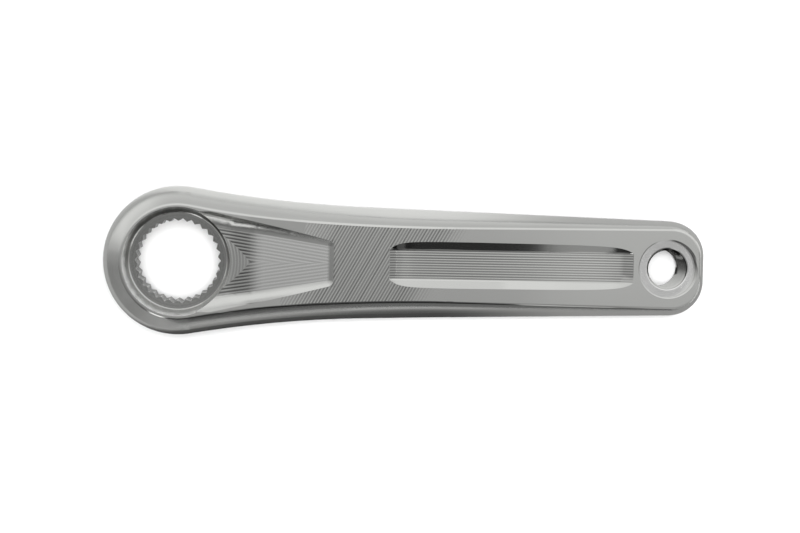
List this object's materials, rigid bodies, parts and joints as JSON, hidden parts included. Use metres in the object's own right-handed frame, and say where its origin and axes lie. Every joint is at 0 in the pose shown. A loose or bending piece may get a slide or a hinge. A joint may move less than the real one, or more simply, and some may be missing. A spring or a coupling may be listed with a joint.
{
  "type": "bicycle crank arm",
  "caption": "Plain bicycle crank arm milled from one billet, with a toothed axle bore under a tapered counterbore, a scooped outer face, a long lined pocket and a threaded pedal eye.",
  "frame": {"origin": "on the axle axis, at the inner face of the axle boss", "axes": "+Z along the axle axis towards the outer face, +X from the axle to the pedal"},
  "size_m": [0.2092, 0.052, 0.0336],
  "materials": {
    "anodised_aluminium": "satin anodised, with milling marks"
  },
  "bodies": {
    "root": {"crank_arm": "anodised_aluminium"}
  },
  "joints": []
}
